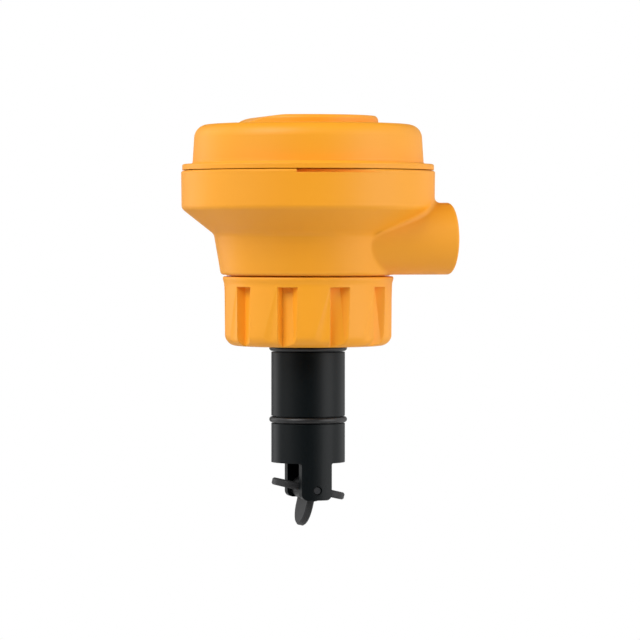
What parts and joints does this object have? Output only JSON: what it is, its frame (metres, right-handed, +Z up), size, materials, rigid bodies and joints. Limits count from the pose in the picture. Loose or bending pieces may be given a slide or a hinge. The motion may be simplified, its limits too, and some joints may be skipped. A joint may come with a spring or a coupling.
{
  "type": "paddlewheel flow sensor",
  "caption": "Insertion paddlewheel flow sensor with a black barrel, fluted retaining nut and an orange-yellow junction box with side conduit ports and a screw-on cover.",
  "frame": {"origin": "on the barrel's axis, at the lower end of its full cylinder, where the fork begins", "axes": "+Z up along the barrel to the junction box, +X the way the conduit ports face, Y along the paddlewheel's axle"},
  "size_m": [0.0941, 0.0918, 0.1481],
  "materials": {
    "housing_yellow": "fine moulded texture, satin",
    "barrel_black": "moulded, matte",
    "rotor_black": "moulded, satin",
    "seal_rubber": "smooth rubber",
    "pin_metal": "ground",
    "magnet_metal": "plated",
    "washer_steel": "stamped",
    "lock_nut_brass": "turned",
    "board_green": "lacquered",
    "screw_steel": "zinc plated",
    "terminal_green": "moulded",
    "connector_white": "moulded",
    "capacitor_can": "sleeved can",
    "chip_black": "moulded",
    "lead_insulation": "extruded",
    "potting_resin": "cast"
  },
  "bodies": {
    "base": {"junction_base": "housing_yellow", "sensor_barrel": "barrel_black", "lower_o_ring": "seal_rubber", "upper_o_ring": "seal_rubber", "base_gasket": "seal_rubber", "rotor_pin": "pin_metal", "lock_washer": "washer_steel", "sensor_lock_nut": "lock_nut_brass", "circuit_board": "board_green", "hall_board": "board_green", "board_screws": "screw_steel", "terminal_screws": "screw_steel", "terminal_block": "terminal_green", "lead_connector": "connector_white", "board_capacitors": "capacitor_can", "board_chips": "chip_black", "hall_sensor": "chip_black", "signal_leads": "lead_insulation", "barrel_potting": "potting_resin"},
    "rotor": {"rotor": "rotor_black", "rotor_magnets": "magnet_metal"},
    "retaining_nut": {"retaining_nut": "housing_yellow"},
    "cover_seal": {"cover_seal": "seal_rubber"},
    "cover": {"cover": "housing_yellow"}
  },
  "joints": [
    {"name": "rotor_spin", "type": "hinge", "parent": "base", "child": "rotor", "pos_m": [0, 0, -0.0097], "axis": [0, 1, 0], "continuous": true},
    {"name": "nut_turn", "type": "hinge", "parent": "base", "child": "retaining_nut", "pos_m": [0, 0, 0.04215], "axis": [0, 0, 1], "continuous": true},
    {"name": "cover_lift", "type": "slide", "parent": "base", "child": "cover_seal", "axis": [0, 0, 1], "range_m": [0, 0.012]},
    {"name": "cover_turn", "type": "hinge", "parent": "cover_seal", "child": "cover", "pos_m": [0, 0, 0.10555], "axis": [0, 0, 1], "range_deg": [0, 360]}
  ],
  "couplings": [
    {"joint": "cover_lift", "follows": "cover_turn", "m_per_rad": 0.0019099}
  ]
}
